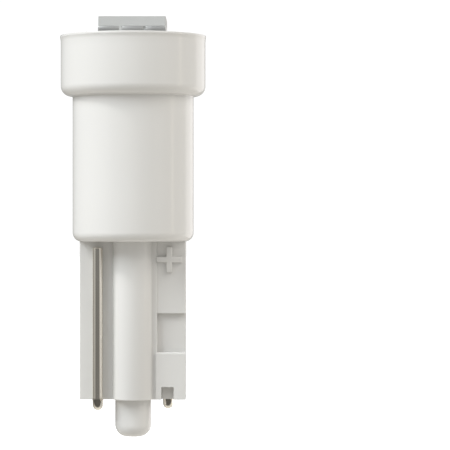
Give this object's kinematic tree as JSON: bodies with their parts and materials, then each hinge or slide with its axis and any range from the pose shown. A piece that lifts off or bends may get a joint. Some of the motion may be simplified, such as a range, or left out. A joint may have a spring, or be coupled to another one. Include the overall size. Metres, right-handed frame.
{
  "type": "instrument panel wedge lamp",
  "caption": "Small white wedge-base LED lamp: round barrel with a wider head and square LED on top, flat ribbed wedge blade with two bent contact wires below, round locating pip.",
  "frame": {"origin": "on the lamp's axis, in the plane of the barrel's underside, which seats on the socket", "axes": "+Z along the axis towards the LED, +X along the blade's width towards the positive wire, -Y out of the face with the plus sign"},
  "size_m": [0.0064, 0.0064, 0.0182],
  "materials": {
    "housing_plastic": "glossy white moulded plastic, slightly warm, small polished radii",
    "tinned_wire": "plain tinned wire, warm grey, drawn along its length",
    "solder": "bright solder and tin plating",
    "board_laminate": "glass-epoxy laminate with white solder mask",
    "copper": "plated copper foil",
    "lead_frame": "silver-plated copper alloy strip",
    "led_plastic": "satin white reflector moulding",
    "led_die": "sapphire die",
    "gold": "gold bonding ribbon",
    "phosphor": "yellow phosphor in clear silicone",
    "ceramic": "white alumina",
    "black_glass": "dark glass overcoat",
    "black_epoxy": "black moulded epoxy"
  },
  "bodies": {
    "root": {"housing": "housing_plastic", "negative_contact_wire": "tinned_wire", "positive_contact_wire": "tinned_wire", "wire_solder_joints": "solder", "board_core": "board_laminate", "board_hole_plating": "copper", "board_top_copper": "copper", "board_bottom_copper": "copper", "led_solder": "solder", "led_anode_lead": "lead_frame", "led_thermal_lead": "lead_frame", "led_cathode_lead": "lead_frame", "led_cup": "led_plastic", "led_chip": "led_die", "led_bond_wires": "gold", "led_phosphor": "phosphor", "resistor_core": "ceramic", "resistor_terminations": "solder", "resistor_overcoat": "black_glass", "diode_body": "black_epoxy", "diode_leads": "lead_frame", "component_solder": "solder"}
  },
  "joints": []
}
